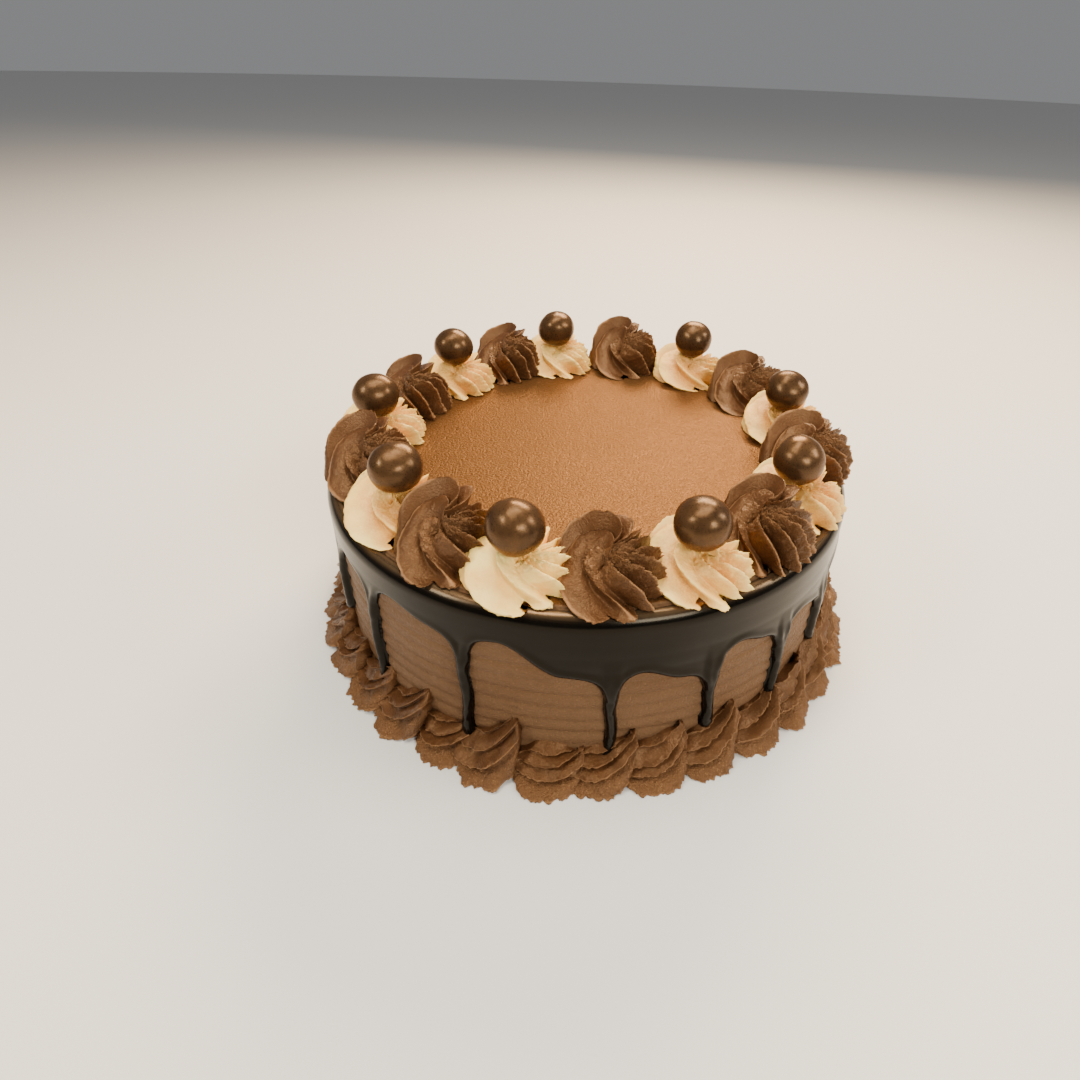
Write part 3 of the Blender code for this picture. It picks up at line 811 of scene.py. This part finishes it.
# Lips across a shell from the wall down to the toe: how torn each is, how deep it is undercut,
# and points from its left end to its right, beside, out and up as shares of the shell's sizes
SHELL_LIPS = [
    (0.0, 0.00, [(-0.95, -0.10, 0.55), (-0.45, -0.10, 0.80), (0.0, -0.10, 0.95),
                 (0.40, -0.10, 1.0), (0.92, -0.10, 0.8)]),
    (0.7, 0.16, [(-0.98, 0.06, 0.60), (-0.60, 0.14, 0.84), (-0.12, 0.20, 0.84),
                 (0.32, 0.14, 1.0), (0.74, 0.02, 1.14)]),
    (0.7, 0.22, [(-1.02, 0.30, 0.50), (-0.52, 0.46, 0.52), (0.0, 0.50, 0.58),
                 (0.46, 0.38, 0.80), (0.92, 0.14, 1.10)]),
    (0.9, 0.30, [(-1.04, 0.52, 0.38), (-0.52, 0.72, 0.36), (0.0, 0.78, 0.40),
                 (0.52, 0.66, 0.58), (1.04, 0.34, 0.90)]),
    (1.3, 0.06, [(-0.98, 0.50, 0.10), (-0.54, 0.94, 0.03), (0.0, 1.06, 0.02),
                 (0.54, 0.98, 0.03), (0.96, 0.60, 0.08)]),
    (0.0, 0.00, [(-0.96, 0.30, 0.00), (-0.50, 0.60, 0.0), (0.0, 0.70, 0.0),
                 (0.50, 0.60, 0.0), (0.96, 0.30, 0.0)]),
]


def shell_point(lips, across, along):
    # Place on a shell as shares of its sizes, with how near and how torn the nearest lip is
    spot = min(along * (len(lips) - 1), len(lips) - 1.000001)
    index = int(spot)
    step = spot - index
    torn, undercut, line = lips[index]
    next_torn, _, next_line = lips[index + 1]
    here = smooth_between(line, across)
    beyond = smooth_between(next_line, across)
    beside, out, up = [start + (stop - start) * step for start, stop in zip(here, beyond)]
    if step < SHELL_GROOVE:
        hollow = (step / SHELL_GROOVE) ** 0.6
    else:
        hollow = ((1 - step) / (1 - SHELL_GROOVE)) ** 1.4
    sunk = undercut * hollow * (1 - abs(2 * across - 1) ** 4)
    near = abs(2 * step - 1) ** 3
    tear = near * (torn if step < 0.5 else next_torn)
    return beside, out - sunk, up - 0.35 * sunk, tear, 1 - hollow


def shell(azimuth, size, tall, rng):
    part = bmesh.new()
    crest_layer = part.verts.layers.float.new("crest")
    torn_layer = part.verts.layers.float.new("torn")
    seed = Vector((rng.uniform(0, 50), rng.uniform(0, 50), rng.uniform(0, 50)))
    middle = CAKE_RADIUS + SHELL_TOE * 0.6
    half = SHELL_OVERLAP * math.pi * middle / SHELL_COUNT
    skew = rng.uniform(-0.05, 0.28)
    swept = rng.uniform(-0.30, 0.35)
    lips = []
    for torn, undercut, line in SHELL_LIPS:
        shift = rng.uniform(-SHELL_JITTER, SHELL_JITTER)
        raised = rng.uniform(-SHELL_JITTER, SHELL_JITTER)
        moved = []
        for number, (beside, out, up) in enumerate(line):
            lift = min(1.0, up * 4) * (raised + swept * (number / 4) ** 2)
            moved.append((beside + skew * up, out + shift * min(1.0, up * 8), up + lift))
        lips.append((torn, undercut * rng.uniform(0.8, 1.2), moved))
    made = bmesh.ops.create_grid(part, x_segments=SHELL_COLUMNS, y_segments=SHELL_ROWS, size=0.5)
    for vert in made["verts"]:
        across = vert.co.x + 0.5
        along = vert.co.y + 0.5
        beside, out, up, tear, near = shell_point(lips, across, along)
        # The two sides and the underside end inside the cake's wall
        buried = abs(vert.co.x) > GRID_EDGE or vert.co.y > GRID_EDGE
        if buried:
            out = SHELL_ROOT
            tear = 0.0
        beside *= half
        out *= SHELL_TOE * size
        up *= SHELL_HEIGHT * size * tall
        spot = Vector((beside, out, up)) + seed
        ragged = noise.noise(spot * 480.0) * 0.7 + noise.noise(spot * 1300.0) * 0.5
        soft = noise.noise(spot * 150.0)
        grain = noise.noise(spot * 900.0) * ease((along - 0.6) / 0.1)
        if not buried:
            out += SHELL_RAGGED * ragged * tear + SHELL_SOFT * soft + SHELL_GRAIN * grain
        up += (SHELL_RAGGED_UP * ragged * tear + SHELL_SOFT_UP * soft) * min(1.0, up / 0.004)
        turn = azimuth + math.degrees(beside / middle)
        vert.co = polar(CAKE_RADIUS + SHELL_GAP + out, turn, max(0.0, up))
        # Nearness to a lip, which draws a painted highlight line along it
        vert[crest_layer] = near * (0.94 + 0.06 * tear)
        vert[torn_layer] = 0.25 + 0.75 * ease((along - 0.6) / 0.1)
    open_edges = [edge for edge in part.edges if edge.is_boundary]
    bmesh.ops.holes_fill(part, edges=open_edges, sides=0)
    return part


def shell_ring():
    bm = bmesh.new()
    rng = random.Random(5)
    for number in range(SHELL_COUNT):
        azimuth = FIRST_SHELL + 360.0 * number / SHELL_COUNT + rng.uniform(-0.8, 0.8)
        nearness = ((azimuth - TALLEST_AZIMUTH + 180) % 360 - 180) / TALL_SPREAD
        tall = 1 + TALL_EXTRA * math.exp(-nearness * nearness)
        part = shell(azimuth, rng.uniform(0.94, 1.05), tall, rng)
        joined = bpy.data.meshes.new("shell_part")
        part.to_mesh(joined)
        part.free()
        bm.from_mesh(joined)
        bpy.data.meshes.remove(joined)
    return finish_mesh("shell_ring", bm, piping)


border = shell_ring()
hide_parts("shell_border")

# Studio
# A pale floor, a warm panel behind the cake and a wide one overhead, three small panels at
# its left, front and right, and a camera close above the cake's front edge.
CAMERA_DISTANCE = 0.3453
CAMERA_ELEVATION = 39.96
CAMERA_TILT = -7.98
CAMERA_PAN = 1.138
CAMERA_ROLL = 1.968
FOCAL_PIXELS = 690.0
PHOTO_SIZE = 1080.0
OPTICAL_CENTRE = (600.0, 480.0)
SENSOR = 36.0
FLOOR_RADIUS = 6.0
FLOOR_COLOUR = (0.68, 0.67, 0.66, 1.0)
SKY_COLOUR = (0.97, 0.98, 1.0, 1.0)
SKY_STRENGTH = 0.24
LIGHT_TARGET = Vector((0, 0, 0.05))
# Each panel: name, place, width and depth, watts, colour
PANELS = [
    ("back_panel", (0.25, 0.95, 0.85), (0.7, 0.4), 33.0, (1.0, 0.72, 0.42)),
    ("top_panel", (-0.05, 0.05, 1.00), (0.80, 0.34), 13.0, (1.0, 0.86, 0.66)),
    ("left_panel", (-0.70, -0.35, 0.75), (0.25, 0.25), 6.0, (1.0, 0.95, 0.82)),
    ("front_panel", (0.45, -0.80, 0.60), (0.4, 0.3), 9.5, (1.0, 0.95, 0.84)),
    ("right_panel", (0.80, -0.05, 0.60), (0.3, 0.3), 6.0, (1.0, 0.90, 0.74)),
]


def studio_floor():
    bm = bmesh.new()
    bmesh.ops.create_circle(bm, cap_ends=True, segments=96, radius=FLOOR_RADIUS)
    mesh = bpy.data.meshes.new("studio_floor")
    bm.to_mesh(mesh)
    bm.free()
    material, tree, shader = new_material("pale_floor", 0.8)
    shader.inputs["Base Color"].default_value = FLOOR_COLOUR
    mesh.materials.append(material)
    floor = bpy.data.objects.new("studio_floor", mesh)
    bpy.context.collection.objects.link(floor)


def area_light(name, place, size, power, colour):
    data = bpy.data.lights.new(name, "AREA")
    data.shape = "RECTANGLE"
    data.size = size[0]
    data.size_y = size[1]
    data.energy = power
    data.color = colour
    lamp = bpy.data.objects.new(name, data)
    lamp.location = place
    aim = LIGHT_TARGET - Vector(place)
    lamp.rotation_euler = aim.to_track_quat("-Z", "Y").to_euler()
    bpy.context.collection.objects.link(lamp)


def studio_camera():
    data = bpy.data.cameras.new("studio_camera")
    data.sensor_width = SENSOR
    data.lens = FOCAL_PIXELS / PHOTO_SIZE * SENSOR
    data.shift_x = (PHOTO_SIZE / 2 - OPTICAL_CENTRE[0]) / PHOTO_SIZE
    data.shift_y = (OPTICAL_CENTRE[1] - PHOTO_SIZE / 2) / PHOTO_SIZE
    data.clip_start = 0.01
    rise = math.radians(CAMERA_ELEVATION)
    dip = math.radians(CAMERA_ELEVATION + CAMERA_TILT)
    pan = math.radians(CAMERA_PAN)
    roll = math.radians(CAMERA_ROLL)
    forward = Vector((math.sin(pan) * math.cos(dip), math.cos(pan) * math.cos(dip), -math.sin(dip)))
    level = Vector((math.cos(pan), -math.sin(pan), 0.0))
    upright = level.cross(forward)
    right = level * math.cos(roll) + upright * math.sin(roll)
    up = upright * math.cos(roll) - level * math.sin(roll)
    camera = bpy.data.objects.new("studio_camera", data)
    place = Vector((0.0, -CAMERA_DISTANCE * math.cos(rise), CAMERA_DISTANCE * math.sin(rise)))
    axes = Matrix((right, up, -forward)).transposed().to_4x4()
    camera.matrix_world = Matrix.Translation(place) @ axes
    bpy.context.collection.objects.link(camera)
    bpy.context.scene.camera = camera


def studio_world():
    world = bpy.data.worlds.new("studio_world")
    world.use_nodes = True
    sky = world.node_tree.nodes["Background"]
    sky.inputs["Color"].default_value = SKY_COLOUR
    sky.inputs["Strength"].default_value = SKY_STRENGTH
    bpy.context.scene.world = world


studio_floor()
studio_world()
studio_camera()
for panel in PANELS:
    area_light(*panel)
